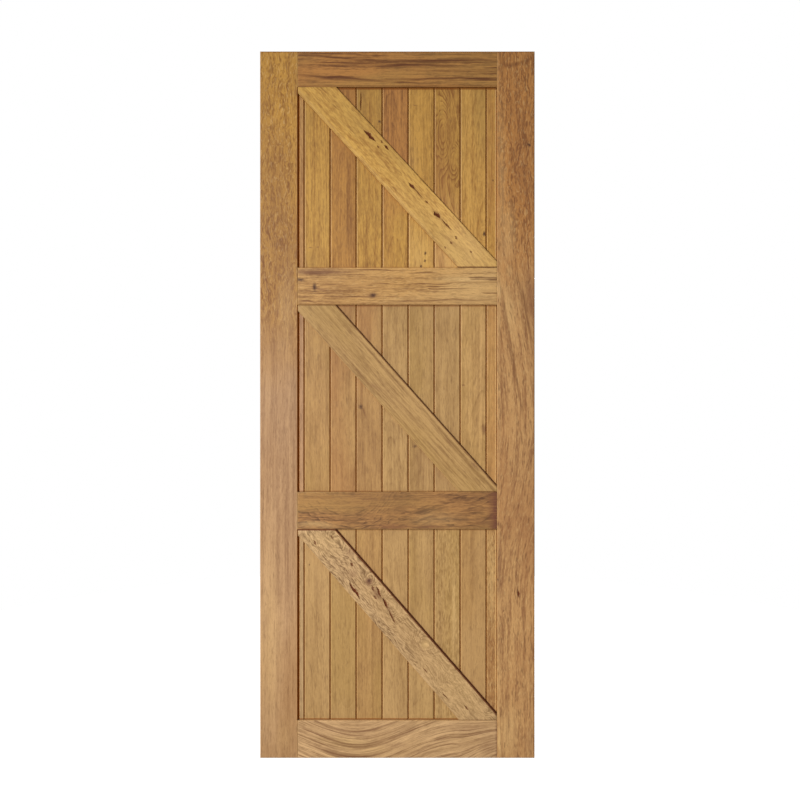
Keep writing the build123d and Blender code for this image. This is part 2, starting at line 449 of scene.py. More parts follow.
def soft_spot(tree, place, face, spot, grow=1.0):
    """How far inside an ellipse on a piece's face a place is: its strength in the middle, nothing outside."""
    across, up, half_across, half_up, turn, strength = spot
    local = add_node(tree, "Mapping", {
        "Vector": place, "Location": (across * mm, face, up * mm), "Rotation": (0, math.radians(turn), 0),
        "Scale": (half_across * grow * mm, mark_depth * grow, half_up * grow * mm)}, vector_type="TEXTURE")
    return ramp(tree, vector_maths(tree, "LENGTH", local.outputs[0]), 1.0, 0.0, 0.0, strength)


def gathered(tree, masks, operation="MAXIMUM"):
    """The largest of some masks, or their sum, or nothing where there are none."""
    whole = 0.0
    for mask in masks:
        whole = maths(tree, operation, whole, mask)
    return whole


def shaken(tree, place, density, amount):
    """A place that is pushed about by noise, so that no mark has a drawn outline."""
    shake = add_node(tree, "TexNoise", {"Vector": place, "Scale": density, "Detail": 2.0}).outputs[1]
    return vector_maths(tree, "ADD", place, scaled(tree, vector_maths(tree, "SUBTRACT", shake, half), amount))


def edge_line(tree, place, line):
    """A straight line, soft on both sides: painted shade, shadow or bounce light, or a painted highlight."""
    outwards, edge, width, strength, *span = line
    distance = vector_maths(tree, "DOT_PRODUCT", place, outwards)
    beside = maths(tree, "ABSOLUTE", maths(tree, "SUBTRACT", distance, edge))
    drawn = ramp(tree, beside, width, width * line_core, 0.0, strength)
    if span:
        low, high = span
        up = add_node(tree, "SeparateXYZ", {0: place}).outputs["Z"]
        drawn = maths(tree, "MULTIPLY", drawn, ramp(tree, up, low, low + line_fade))
        drawn = maths(tree, "MULTIPLY", drawn, ramp(tree, up, high, high - line_fade))
    return drawn


print("marks are ellipses", round(2 * mark_depth / mm), "mm deep")

# %% [markdown]
# ### The timber function
# The function turns the place into grain space, gathers the marks of each kind into one mask, and feeds the
# group. Where a plank isn't of one kind from end to end, its change says which tone and figure its lower part
# has, and at what height and how softly one turns into the other.

# %% The timber function
figure_defaults = {
    "Seed": 1.0, "Heart": (0.05, 0.09, 0), "Lean": (0, 0, 0), "Pitch": 4.5 * mm, "Rings": 0.35,
    "Wander": 5 * mm, "Curl": 3 * mm, "Fibre": 0.3, "Bands": 0.3, "Mottle": 0.3, "Flecks": 0.2,
    "Dashes": 0.25, "Lines": 0.0, "Mineral": 0.15, "Rays": 0.0,
}
ragged_shake, waved_shake, change_shake = (170.0, 7 * mm), (8.0, 22 * mm), (9.0, 250 * mm)
knot_years, knot_reach = 3.5, 3.5
front_fade = 5 * mm
bump_strength, bump_depth = 0.35, 0.4 * mm


def timber(name, centre, run, tone, drift="olive", knots=(), swirls=(), pushes=(), stains=(), streaks=(),
           pales=(), grime=(), oil=(), deep_lines=(), light_lines=(), change=None, face=front, **figure):
    """A timber material for one piece: its grain runs along run, and its marks lie on the face at a depth."""
    material = bpy.data.materials.new(name)
    material.use_nodes = True
    tree = material.node_tree
    place = add_node(tree, "TexCoord").outputs["Object"]
    turn = math.atan2(run.x, run.z)
    grain = add_node(tree, "Mapping", {"Vector": place, "Location": centre, "Rotation": (0, turn, 0)},
                     vector_type="TEXTURE").outputs[0]
    normal = add_node(tree, "NewGeometry").outputs["Normal"]
    facing = maths(tree, "ABSOLUTE", vector_maths(tree, "DOT_PRODUCT", normal, run))
    ragged = shaken(tree, place, *ragged_shake)
    waved = shaken(tree, place, *waved_shake)
    split = add_node(tree, "Attribute", attribute_name="split").outputs["Fac"]
    arris = add_node(tree, "Attribute", attribute_name="arris").outputs["Fac"]
    looks = figure_defaults | figure
    light, dark = tones[tone]
    if change:
        up = add_node(tree, "SeparateXYZ", {0: shaken(tree, place, *change_shake)}).outputs["Z"]
        lower = ramp(tree, up, change["height"] + change["blend"], change["height"] - change["blend"])
        lower_light, lower_dark = tones[change["tone"]]
        light = mixed(tree, lower, light, lower_light)
        dark = mixed(tree, lower, dark, lower_dark)
        for key in figure_defaults:
            if key in change:
                looks[key] = ramp(tree, lower, 0.0, 1.0, looks[key], change[key])

    def spots(where, marks, grow=1.0):
        """The masks of some ellipses."""
        return [soft_spot(tree, where, face, mark, grow) for mark in marks]

    def edges(lines):
        """The masks of some lines."""
        return [edge_line(tree, place, line) for line in lines]

    at_front = ramp(tree, add_node(tree, "SeparateXYZ", {0: place}).outputs["Y"], 0.0, -front_fade)
    # Lines of painted shadow, on the front only, are drawn in with the splits.
    deep = maths(tree, "MULTIPLY", gathered(tree, edges(deep_lines)), at_front)
    knot_swirls = [(*knot[:5], knot_years) for knot in knots]
    shifts = [(*push[:5], push[5] * mm) for push in pushes]
    inputs = looks | {
        "Grain": grain, "Light tone": light, "Dark tone": dark, "Drift tone": drift_tones[drift],
        "End grain": ramp(tree, facing, 0.75, 0.95), "Arris": arris,
        "Split": maths(tree, "MAXIMUM", split, deep),
        "Knot": gathered(tree, spots(ragged, knots)),
        "Swirl": gathered(tree, spots(place, knot_swirls, knot_reach) + spots(place, swirls)),
        "Push": gathered(tree, spots(place, shifts), "ADD"),
        "Stain": gathered(tree, spots(ragged, stains)),
        "Streak": gathered(tree, spots(waved, streaks)),
        # Pale patches and lines of painted highlight share one mask.
        "Pale": gathered(tree, spots(waved, pales) + edges(light_lines)),
        "Grime": gathered(tree, edges(grime)),
        "Oil": gathered(tree, edges(oil)),
    }
    group = tree.nodes.new("ShaderNodeGroup")
    group.node_tree = timber_group
    for key, value in inputs.items():
        fill(tree, group.inputs[key], value)
    relief = {"Height": group.outputs["Height"], "Strength": bump_strength, "Distance": bump_depth}
    bump = add_node(tree, "Bump", relief)
    shader = tree.nodes["Principled BSDF"]
    tree.links.new(group.outputs["Colour"], shader.inputs["Base Color"])
    tree.links.new(group.outputs["Roughness"], shader.inputs["Roughness"])
    tree.links.new(bump.outputs["Normal"], shader.inputs["Normal"])
    shader.inputs["Specular IOR Level"].default_value = 0.3
    return material


print("a piece of timber takes", len(figure_defaults), "figure values")

# %% [markdown]
# ## Working over a solid
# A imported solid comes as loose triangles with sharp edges. A copy is welded, and triangles that lie in one
# plane are joined into whole faces again. Then it is treated as a joiner treats a plank: the arrises are
# rounded with a small bevel and marked as worn. The two broad faces are cut into a loose grid, with its first
# rows close beside the edges, which lets a board be a little hollow and lets splits open.

# %% Weld, round and grid a copy of a solid
weld = 0.005 * mm
flat_angle = math.radians(0.5)
arris_round = 0.45 * mm
least_bend, most_bend = math.radians(25), math.radians(65)
margin = 1.6 * mm
oblique, tilted = 0.94, 0.1
upright, level = Vector((0, 0, 1)), Vector((1, 0, 0))


def welded_copy(name):
    """A copy of a solid with whole flat faces in place of loose triangles."""
    shape = bmesh.new()
    shape.from_mesh(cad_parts[name].data)
    bmesh.ops.remove_doubles(shape, verts=shape.verts, dist=weld)
    bmesh.ops.dissolve_limit(shape, angle_limit=flat_angle, verts=shape.verts, edges=shape.edges)
    return shape


def is_arris(face):
    """Whether a face is part of an eased edge: it leans away from all three axes' planes."""
    return max(abs(part) for part in face.normal) < oblique and abs(face.normal.y) > tilted


def round_arrises(shape, low, high):
    """Round both edges of each eased corner, keep it inside the solid's box and mark it as worn."""
    worn = [face for face in shape.faces if is_arris(face)]
    edges = {edge for face in worn for edge in face.edges
             if len(edge.link_faces) == 2 and least_bend < edge.calc_face_angle() < most_bend}
    bmesh.ops.bevel(shape, geom=list(edges), offset=arris_round, offset_type="OFFSET", affect="EDGES",
                    segments=2, profile=0.5, material=-1, clamp_overlap=True)
    for vert in shape.verts:
        vert.co = [min(max(place, least), most) for place, least, most in zip(vert.co, low, high)]
    layer = shape.loops.layers.float.new("arris")
    for face in shape.faces:
        for loop in face.loops:
            loop[layer] = float(is_arris(face))


def cut_rows(shape, faces, direction, places):
    """Cut some faces along planes that stand square to a direction, and return what they have become."""
    geometry = list({part for face in faces for part in (face, *face.edges, *face.verts)})
    for place in places:
        geometry = bmesh.ops.bisect_plane(shape, geom=geometry, dist=weld, plane_co=direction * place,
                                          plane_no=direction)["geom"]
    return [part for part in geometry if isinstance(part, bmesh.types.BMFace)]


def even_steps(low, high, pitch):
    """Places between two ends, about a pitch apart, without the ends."""
    count = max(2, round((high - low) / pitch))
    return [low + (high - low) * number / count for number in range(1, count)]


def spread(faces, direction):
    """How far some faces reach along a direction."""
    reach = [vert.co.dot(direction) for face in faces for vert in face.verts]
    return min(reach), max(reach)


print("arrises are rounded by", round(arris_round / mm, 2), "mm")

# %% [markdown]
# ### Splits
# The braces were cut from a lively plank with open splits and small bark pockets along the grain. They are
# real hollows, so they're modelled: the face is cut finely just there, and the points inside a pointed
# ellipse are pushed into the wood. The same points carry a split value that makes the timber go dark.

# %% Open a split in a face
split_pitch = 1.1 * mm
split_reach = 16 * mm
split_bow, bow_pace = 0.9, 1.3
split_fray, fray_density = 0.6, 260
blunt_end, wall_rise = 0.08, 1.7
rim_shade, shade_rise = 0.35, 1.6
shallow_shade, depth_shade = 0.5, 0.2
split_layer_name = "split"


def open_split(shape, faces, run, split):
    """Push a hollow into the front face, at a place in millimetres, with a length, width, depth and turn."""
    across, up, length, width, depth, turn = split
    middle = Vector((across * mm, 0, up * mm))
    angle = math.atan2(run.x, run.z) + math.radians(turn)
    run = Vector((math.sin(angle), 0, math.cos(angle)))
    side = Vector((run.z, 0, -run.x))
    half_length, half_width = length * mm / 2, width * mm / 2
    reach = half_length + split_reach
    near = [face for face in faces
            if face.is_valid and (face.calc_center_median() - middle).xz.length < reach]
    pad = 2 * split_pitch
    for direction, half_size in ((run, half_length), (side, half_width)):
        centre = middle.dot(direction)
        low, high = centre - half_size - pad, centre + half_size + pad
        near = cut_rows(shape, near, direction, [low, *even_steps(low, high, split_pitch), high])
    layer = shape.verts.layers.float[split_layer_name]
    for vert in {vert for face in near for vert in face.verts}:
        ahead = (vert.co - middle).dot(run) / half_length
        bow = noise.noise(Vector((ahead * bow_pace, across, up))) * split_bow
        fray = noise.noise(vert.co * fray_density) * split_fray
        aside = (vert.co - middle).dot(side) / half_width + (bow + fray) * (1 - min(1, abs(ahead)))
        inside = 1 - ahead ** 2 - abs(aside) / max(blunt_end, 1 - abs(ahead)) ** 0.5
        if inside > 0:
            vert.co.y += depth * mm * min(1.0, inside * wall_rise)
            shade = min(1.0, shallow_shade + depth_shade * depth)
            vert[layer] = max(vert[layer], min(1.0, rim_shade + inside * shade_rise) * shade)
    return [face for face in faces if face.is_valid] + near


print("splits are cut", round(split_pitch / mm, 1), "mm fine")

# %% [markdown]
# ### From solid to plank
# The last helper runs the whole treatment, gives the piece its own timber, and lets it stand for its solid.
# Smooth shading with sharp edges kept above a set angle makes the rounded arrises read as round.

# %% Work a solid over into a plank
grid_pitch = 14 * mm
sharp_angle = math.radians(38)
needle = 0.02 * mm
narrow_area, wide_area = 4e-5, 4e-4
squarely, same_depth = 0.999, 0.1 * mm
even_cup, cup_swing, cup_density = 0.75, 0.5, 9


def broad_faces(shape, side):
    """The outermost faces that look to the front (-1) or to the back (1)."""
    looking = [face for face in shape.faces if face.normal.y * side > squarely]
    outermost = max(face.calc_center_median().y * side for face in looking)
    return [face for face in looking if outermost - face.calc_center_median().y * side < same_depth]


def hollow_out(faces, run, cup, side):
    """Let a broad face sink a little between its long edges, and wave along its length."""
    across = Vector((run.z, 0, -run.x))
    low, high = spread(faces, across)
    for vert in {vert for face in faces for vert in face.verts}:
        offset = (vert.co.dot(across) - low) / (high - low) * 2 - 1
        wave = even_cup + cup_swing * noise.noise(vert.co * cup_density)
        vert.co.y -= side * cup * max(0.0, 1 - offset ** 2) * wave


def plank(name, run, slot, tone, cup=0.0, splits=(), **looks):
    """A worked copy of a solid that stands for it in the door, in a timber of its own."""
    low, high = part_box(name)
    shape = welded_copy(name)
    round_arrises(shape, low, high)
    shape.verts.layers.float.new(split_layer_name)
    across = Vector((run.z, 0, -run.x))
    for side in (-1, 1):
        faces = [face for face in broad_faces(shape, side) if face.calc_area() > narrow_area]
        for direction in (run, across):
            start, end = spread(faces, direction)
            places = [start + margin, *even_steps(start, end, grid_pitch), end - margin]
            faces = cut_rows(shape, faces, direction, places)
        hollow_out(faces, run, cup, side)
        if side == -1:
            for split in splits:
                faces = open_split(shape, faces, run, split)
    bmesh.ops.dissolve_degenerate(shape, edges=shape.edges, dist=needle)
    for face in shape.faces:
        face.smooth = True
    for edge in shape.edges:
        wide = any(face.calc_area() > wide_area for face in edge.link_faces)
        edge.smooth = edge.calc_face_angle() < sharp_angle and not wide
    mesh = bpy.data.meshes.new(name + "_timber")
    shape.to_mesh(mesh)
    shape.free()
    mesh.materials.append(timber(name + "_oak", (low + high) / 2, run, tone, **looks))
    piece = bpy.data.objects.new(name + "_timber", mesh)
    scene.collection.objects.link(piece)
    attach(piece, "root")
    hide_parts(name)
    return piece


print("planks get a grid of", round(grid_pitch / mm), "mm")

# %% [markdown]
# ## Stiles
# The two long uprights. The lock stile on the left is golden and flecked above and turns pinker and plainer
# below. The hinge stile on the right is redder and livelier, with a knot near its top, dark slanting streaks
# beside and below the first middle rail, and an open slit low down.

# %% Both stiles
# The line along the door's top edge is painted shade on the arris that faces away from the light.
top_line = (upright, door_high.z, 7 * mm, 0.4)
bay_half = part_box("hinge_stile")[0].x
rail_names = ["bottom_rail", "lower_middle_rail", "upper_middle_rail", "top_rail"]
bay_spans = [(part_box(lower)[1].z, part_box(upper)[0].z) for lower, upper in zip(rail_names, rail_names[1:])]
stile_cup, rail_cup, board_cup = 0.15 * mm, 0.12 * mm, 0.25 * mm
# The lock stile's inner arris, which faces away from the light, gets painted shade in each bay.
stile_dust = [(level, -bay_half, 3.0 * mm, 1.0, *span) for span in bay_spans]
lock_stile = plank(
    "lock_stile", upright, "stile_timber", "ochre", drift="brown", cup=stile_cup,
    change=dict(tone="pink", height=1.24, blend=0.2, Flecks=0.1, Curl=8 * mm, Bands=0.42, Fibre=0.2,
                Mottle=0.2, Rings=0.2, Rays=0.0),
    # Painted shade along the top edge and the inner arris, and a faint painted highlight beside that arris.
    grime=[top_line, *stile_dust], light_lines=[(level, -bay_half - 2 * mm, 2.5 * mm, 0.15)],
    stains=[(-352, 1480, 400, 520, 0, 0.42), (-352, 980, 400, 330, 0, 0.18),
            (-303, 50, 30, 110, 0, 0.2), (-328, 640, 44, 340, 0, 0.16)],
    pales=[(-380, 340, 50, 420, 0, 0.3), (-328, 1330, 44, 220, 0, 0.3), (-330, 60, 70, 110, 0, 0.15)],
    streaks=[(-327, 600, 8, 190, 0, 0.22), (-350, 770, 5, 60, 14, 0.2), (-338, 730, 4, 50, 16, 0.25)],
    Seed=1.3, Heart=(0.02, 0.10, 0), Lean=(0.015, 0.01, 0), Flecks=0.35, Curl=40 * mm, Wander=9 * mm,
    Mottle=0.55, Fibre=0.5, Rays=0.3)
hinge_stile = plank(
    "hinge_stile", upright, "stile_timber", "russet", drift="red", cup=stile_cup,
    splits=[(359.5, 489.5, 28, 7, 2.5, -8)],
    # Painted shade along the top edge and along the outer right arris, which faces away from the light.
    grime=[top_line, (level, door_high.x, 6 * mm, 0.3)],
    change=dict(tone="fallow", height=1.5, blend=0.16, Flecks=0.25, Dashes=0.5, Curl=9 * mm, Lines=0.12,
                Rays=0.22, Fibre=0.42, Mottle=0.4, Bands=0.6),
    # A faint painted highlight runs just inside the stile's inner arris.
    light_lines=[(level, bay_half + 4 * mm, 5 * mm, 0.14)], pushes=[(350, 1000, 900, 560, 0, -55)],
    knots=[(391, 1821, 7, 6, 20, 1), (299, 530, 3, 7, 0, 0.9), (315, 438, 4, 6, 0, 0.6)],
    stains=[(404, 1350, 34, 200, -12, 0.5), (372, 1760, 56, 300, 0, 0.3), (352, 900, 400, 500, 0, 0.08),
            (303, 560, 14, 190, 0, 0.5), (356, 760, 120, 420, 0, 0.18), (332, 687, 14, 3, 0, 0.6),
            (398, 631, 4, 3, 0, 0.6), (299, 696, 9, 13, 0, 0.9), (392, 51, 24, 60, 0, 0.35)],
    streaks=[(326, 1300, 7, 240, -10.5, 0.45), (356, 1120, 7, 200, -9.7, 0.6),
             (383, 1325, 9, 220, -11.7, 0.7), (350, 2062, 80, 10, -20, 0.6), (310, 2060, 12, 60, 0, 0.45)],
    # The narrow pale spots 303 and 304 mm across lie on the stile's inner arris and are painted highlight
    # where it catches the light; the others are paler wood.
    pales=[(308, 1660, 22, 460, 0, 0.26), (330, 1340, 26, 170, -11.7, 0.3), (303, 1300, 10, 90, 0, 0.4),
           (304, 1000, 9, 300, 0, 0.15), (333, 1446, 20, 40, 0, 0.4), (303, 1402, 14, 75, 0, 0.6),
           (303, 50, 8, 90, 0, 0.6), (328, 70, 44, 120, 0, 0.35), (325, 1560, 40, 160, 0, 0.34)],
    Seed=2.6, Heart=(-0.03, 0.07, 0), Lean=(0.03, 0.02, 0), Flecks=0.6, Curl=28 * mm, Bands=0.75,
    Wander=12 * mm, Mottle=0.45, Fibre=0.7, Rays=0.3)
print("stiles:", len(lock_stile.data.polygons), "and", len(hinge_stile.data.polygons), "faces")

# %% [markdown]
# ## Rails
# Four cross pieces, grain level. The top rail is the darkest, with long mineral streaks. The first middle
# rail is pale and finely streaked, the second brown with faint nested arches and a dark right end, and the
# bottom one shows wide smiling arches, cut close to the bark.

# %% All four rails
rail_looks = {
    "top_rail": dict(
        tone="umber", drift="olive",
        # Painted shade along the door's top edge and along the rail's lower arris.
        grime=[top_line, (upright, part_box("top_rail")[0].z, 6 * mm, 0.35)],
        streaks=[(-152, 2078, 300, 7, 3.3, 1), (123, 2070, 300, 8, 0, 1), (20, 2057, 220, 8, 1.5, 1),
                 (-172, 2020, 280, 7, 3.8, 1), (120, 2017, 400, 6, -1.2, 0.9), (150, 2040, 200, 4, 0, 0.4)],
        Seed=3.2, Heart=(0.2, 0.06, 0), Wander=10 * mm, Fibre=0.5, Bands=0.55, Lines=0.85, Mineral=0.35),
    "upper_middle_rail": dict(
        tone="wheat", drift="pale",
        # Painted shade along the rail's lower arris.
        grime=[(upright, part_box("upper_middle_rail")[0].z, 5 * mm, 0.2)],
        knots=[(-289, 1421, 20, 8, 0, 1), (-246, 1399, 10, 19, 0, 1), (-73, 1375, 16, 10, 0, 1)],
        stains=[(-225, 1392, 50, 11, 8, 0.6), (-76, 1376, 30, 14, 0, 0.5), (-225, 1446, 150, 20, 0, 0.8),
                (-190, 1400, 200, 150, 0, 0.18)],
        pales=[(220, 1424, 170, 14, 0, 0.7), (220, 1400, 190, 140, 0, 0.3)],
        streaks=[(-235, 1442, 70, 6, 2, 0.7), (-110, 1371, 120, 4, 0, 0.6),
                 (150, 1362, 240, 5, -1, 0.6), (-40, 1396, 160, 4, 2, 0.5)],
        Seed=4.7, Heart=(0.06, 0.05, 0), Wander=11 * mm, Curl=9 * mm, Fibre=0.45, Bands=0.5, Flecks=0.25,
        Lines=0.7, Mineral=0.35, Rays=0.2),
    "lower_middle_rail": dict(
        tone="walnut", drift="olive",
        pales=[(-245, 692, 100, 16, 0, 0.4), (120, 708, 110, 40, 0, 0.2)],
        stains=[(-8, 688, 80, 14, 0, 0.8), (255, 702, 55, 14, 10, 0.3), (90, 688, 60, 9, 0, 0.5),
                (299, 735, 42, 400, 0, 1.15), (290, 690, 34, 22, 0, 0.9), (-60, 778, 220, 64, 0, 0.36)],
        swirls=[(-140, 800, 170, 220, 0, 10), (230, 640, 130, 200, 0, 2)],
        Seed=5.1, Heart=(0.16, 0.06, 0), Lean=(-0.30, 0.0, 0), Wander=12 * mm, Curl=14 * mm, Rings=0.6,
        Flecks=0.2, Fibre=0.4, Pitch=18 * mm, Lines=0.25, Mineral=0.05),
    "bottom_rail": dict(
        tone="fawn", drift="pale",
        pushes=[(-120, 56, 300, 1200, 0, -85), (330, 0, 170, 130, 0, 70)],
        stains=[(299, 56, 16, 160, 0, 0.7), (0, 39, 70, 14, 0, 0.35), (272, 36, 50, 40, 0, 0.35),
                (-100, 92, 200, 50, 0, 0.24), (220, 80, 140, 80, 0, 0.2)],
        pales=[(-150, 45, 130, 26, 8, 0.5)],
        Seed=6.4, Heart=(0.2, 0.05, 0), Wander=10 * mm, Rings=0.8, Fibre=0.2, Bands=0.4, Flecks=0.1,
        Lines=0.55, Mineral=0.7, Pitch=12 * mm),
}
for name, looks in rail_looks.items():
    rail = plank(name, level, "rail_timber", cup=rail_cup, **looks)
    print(rail.name, len(rail.data.polygons), "faces")

# %% [markdown]
# ## Boards
# Shade is painted into the vees between the boards and under and over the rails, and painted shadow lies
# along both edges of the braces, strongest on top of the lower two. Warm bounce light is painted into the
# shaded corner beside the lock stile, and painted highlights lie where the vees' right-hand walls and the
# corner beside the hinge stile catch the light. Each bay says how strong these lines are in it.

# %% Where shade and highlights are painted on the boards
def brace_run(name):
    """The way a brace's grain runs: along the longest edge of its front face."""
    shape = welded_copy(name)
    edges = [edge for face in broad_faces(shape, -1) for edge in face.edges]
    longest = max(edges, key=lambda edge: edge.calc_length())
    ends = sorted((vert.co.copy() for vert in longest.verts), key=lambda place: place.x)
    shape.free()
    return (ends[1] - ends[0]).normalized()


# Each bay gives the strength of painted shade under the rail above and over the rail below, the width and
# strength of painted shadow along the brace's upper edge, painted shade at the brace's head and foot, painted
# highlights on the vees' lit walls and just inside the brace's lower edge, and painted shade along its lower
# seam.
bays = {
    "top": dict(below="upper_middle_rail", above="top_rail", under=0.8, over=0.3, brace=(5, 0.0),
                head=0.0, foot=0.8, lit=0.35, rim=0.15, seam=0.2),
    "middle": dict(below="lower_middle_rail", above="upper_middle_rail", under=0.55, over=0.4,
                   brace=(5, 0.7), head=0.4, foot=0.6, lit=0.12, rim=0.0, seam=0.06),
    "bottom": dict(below="bottom_rail", above="lower_middle_rail", under=0.4, over=0.75,
                   brace=(6, 0.9), head=0.9, foot=0.35, lit=0.12, rim=0.08, seam=0.03),
}
boards_in_bay = 9
first_joint, board_cover = -277.5 * mm, 77.5 * mm
joints = [-bay_half, *(first_joint + board_cover * number for number in range(boards_in_bay - 1)), bay_half]
# Warm bounce light is painted into the shaded corner beside the lock stile.
oil_line = (level, joints[0], 5.5 * mm, 1.0)
seam_width = 3 * mm


def dust_lines(bay, number):
    """The lines of painted shade on a board: in its vees, and along the rails below and above."""
    look = bays[bay]
    lines = [(upright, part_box(look["below"])[1].z, 5 * mm, look["over"]),
             (upright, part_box(look["above"])[0].z, 7 * mm, look["under"])]
    if number > 1:
        lines.append((level, joints[number - 1], 2.0 * mm, 0.9))
    if number < boards_in_bay:
        lines.append((level, joints[number], 3.6 * mm, 1.0))
    return lines


def lit_lines(bay, number):
    """The painted highlight where the right-hand wall of a vee, which faces the light, rolls over into the
    face.
    The last board has a painted highlight where it catches light that the stile beside it throws back."""
    if number == 1:
        return []
    if number == boards_in_bay:
        return [(level, joints[number], 6 * mm, 1.0)]
    return [(level, joints[number - 1] + 2.7 * mm, 1.7 * mm, bays[bay]["lit"])]


def brace_edges(bay):
    """The way that points up and away from a brace, and where along it the brace's two long edges lie."""
    run = brace_run(bay + "_brace")
    outwards = Vector((-run.z, 0, run.x))
    shape = welded_copy(bay + "_brace")
    lower, upper = spread(broad_faces(shape, -1), outwards)
    shape.free()
    return outwards, lower, upper


def brace_lines(bay):
    """The lines of painted shadow along the upper and the lower edge of a brace, which only show on the
    front.
    """
    outwards, lower, upper = brace_edges(bay)
    width, strength = bays[bay]["brace"]
    return [(outwards, upper, width * mm, strength), (outwards, lower, seam_width, bays[bay]["seam"])]


print("board joints at", [round(joint / mm) for joint in joints])

# %% [markdown]
# Twenty-seven boards in three bays come from one loop. Each has a tone by name, chosen from the photograph,
# and a heart, a lean and a seed worked out from its number, so neighbours differ. The lower two bays are
# calmer in figure than the top one, and a few boards have knots, stains, pale parts or a split of their own.

# %% All boards
board_tones = {
    "top": "rosy golden chestnut golden russet olive golden amber honey".split(),
    "middle": "blush dun dun dun tan tan tan oat wheat".split(),
    "bottom": "ash tan tan dun tan tan tan dun dun".split(),
}
calm = dict(Fibre=0.2, Bands=0.2, Mottle=0.22, Flecks=0.12, Rings=0.25)
bay_figure = {"top": {}, "middle": calm | dict(Bands=0.28, Mottle=0.36), "bottom": calm}
board_drifts = {
    "top": "red olive red olive red pale red olive red".split(),
    "middle": "red olive red red olive olive pale olive red".split(),
    "bottom": "olive pale olive olive pale olive olive pale red".split(),
}
board_marks = {
    "top_board_2": dict(stains=[(-259, 1518, 11, 2.5, 0, 0.8), (-237, 1519, 5, 2.5, 0, 0.7)]),
    "top_board_3": dict(stains=[(-150, 1560, 50, 230, 0, 0.3)]),
    "top_board_4": dict(knots=[(-53, 1893, 7, 8, 0, 0.9)], stains=[(-84, 1900, 90, 240, 0, 0.14)],
                        splits=[(-109, 1953, 75, 5, 2.0, 0)]),
    "top_board_5": dict(stains=[(-6, 1880, 90, 260, 0, 0.16)],
                        change=dict(tone="golden", height=1.64, blend=0.12)),
    "top_board_6": dict(stains=[(54, 1942, 11, 2.5, 0, 0.7)],
                        knots=[(83, 1501, 6, 8, 0, 1), (82, 1479, 5, 8, 0, 1), (71, 1462, 5, 8, 0, 1)],
                        change=dict(tone="honey", height=1.6, blend=0.1)),
    "top_board_7": dict(swirls=[(140, 1860, 44, 150, 0, 8), (170, 1780, 26, 80, 0, 5)], Rings=1.2, Fibre=0.15,
                        Pitch=8 * mm, pales=[(150, 1470, 80, 140, 0, 0.2)],
                        change=dict(tone="straw", height=1.64, blend=0.12)),
    "top_board_8": dict(knots=[(259, 1559, 7, 12, 0, 1)]),
    "top_board_9": dict(knots=[(271, 1499, 4, 7, 0, 0.9), (285, 1718, 5, 6, 0, 0.7)]),
    "middle_board_4": dict(knots=[(-109, 1044, 9, 12, 0, 0.9)], streaks=[(-101, 1026, 6, 26, -25, 0.6)],
                           stains=[(-84, 900, 200, 300, 0, 0.2)]),
    "middle_board_6": dict(knots=[(52, 926, 9, 8, 0, 0.8)], stains=[(71, 900, 60, 200, 0, 0.25)]),
    "middle_board_7": dict(stains=[(98, 881, 4, 4, 0, 0.7), (130, 850, 60, 90, 0, 0.3)]),
    "middle_board_8": dict(stains=[(196, 1108, 8, 3, 0, 0.7), (259, 976, 10, 24, 0, 0.9)]),
    "bottom_board_2": dict(knots=[(-262, 573, 4, 4, 0, 0.8)]),
    "bottom_board_6": dict(pales=[(71, 240, 100, 260, 0, 0.12)]),
    "bottom_board_7": dict(pales=[(170, 420, 10, 200, 0, 0.35), (150, 180, 100, 160, 0, 0.15)], Flecks=0.4,
                           Rays=0.2),
    "bottom_board_9": dict(pales=[(282, 520, 12, 200, 0, 0.3)], Flecks=0.6, Curl=14 * mm, Rays=0.35),
}
first_seed, seed_pitch = 10, 1.37
boards = 0
for bay, names in board_tones.items():
    dark_lines = brace_lines(bay)
    for number, tone in enumerate(names, start=1):
        name = f"{bay}_board_{number}"
        seed = first_seed + boards * seed_pitch
        side = -1 if number % 2 else 1
        heart = (0.05 * side * math.sin(seed), 0.03 + 0.06 * abs(math.cos(seed * 2)), 0)
        lean = (0.03 * math.cos(seed), 0.10 * math.sin(seed * 3), 0)
        looks = dict(Seed=seed, Heart=heart, Lean=lean) | bay_figure[bay] | board_marks.get(name, {})
        plank(name, upright, "board_timber", tone, drift=board_drifts[bay][number - 1], cup=board_cup,
              grime=dust_lines(bay, number), deep_lines=dark_lines, oil=[oil_line],
              light_lines=lit_lines(bay, number), face=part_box(name)[0].y, **looks)
        boards += 1
print(boards, "boards")

# %% [markdown]
# ## Braces
# Each brace falls from the top left corner of its bay to the bottom right one. The top one is honey coloured
# with open splits along its upper half, the middle one plain and olive, and the bottom one a pale burr
# with swirling figure, a red knot, bark pockets and splits.

# %% All three braces
top_splits = [
    (-82, 1849, 60, 12, 3.0, -5), (-57, 1816, 14, 6, 1.5, 0), (-46, 1831, 14, 6, 1.5, 0),
    (-32, 1814, 22, 9, 2.5, 0), (43, 1699, 32, 9, 2.5, 0), (62, 1679, 46, 4, 1.5, 0),
    (87, 1652, 15, 6, 1.5, 0), (118, 1614, 34, 14, 3.0, 0), (146, 1585, 56, 6, 2.0, 0),
    (175, 1546, 16, 7, 1.5, 0), (160, 1531, 13, 7, 1.5, 0), (142, 1517, 11, 6, 1.2, 0),
    (219, 1504, 12, 6, 1.2, 0),
]
bottom_splits = [
    (-244, 640, 24, 6, 1.5, 10), (-194, 657, 18, 5, 1.2, 0), (-135, 575, 18, 8, 2.0, 0),
    (-127, 497, 70, 10, 2.5, 8), (-73, 505, 24, 7, 1.5, 25), (-55, 494, 44, 7, 2.0, 16),
    (-36, 460, 44, 8, 2.5, 16), (-16, 420, 56, 6, 2.0, 14), (-66, 478, 18, 6, 1.5, 0),
    (83, 261, 26, 4, 1.2, 0), (142, 185, 34, 4, 1.5, 0), (205, 150, 26, 5, 1.5, 0),
]
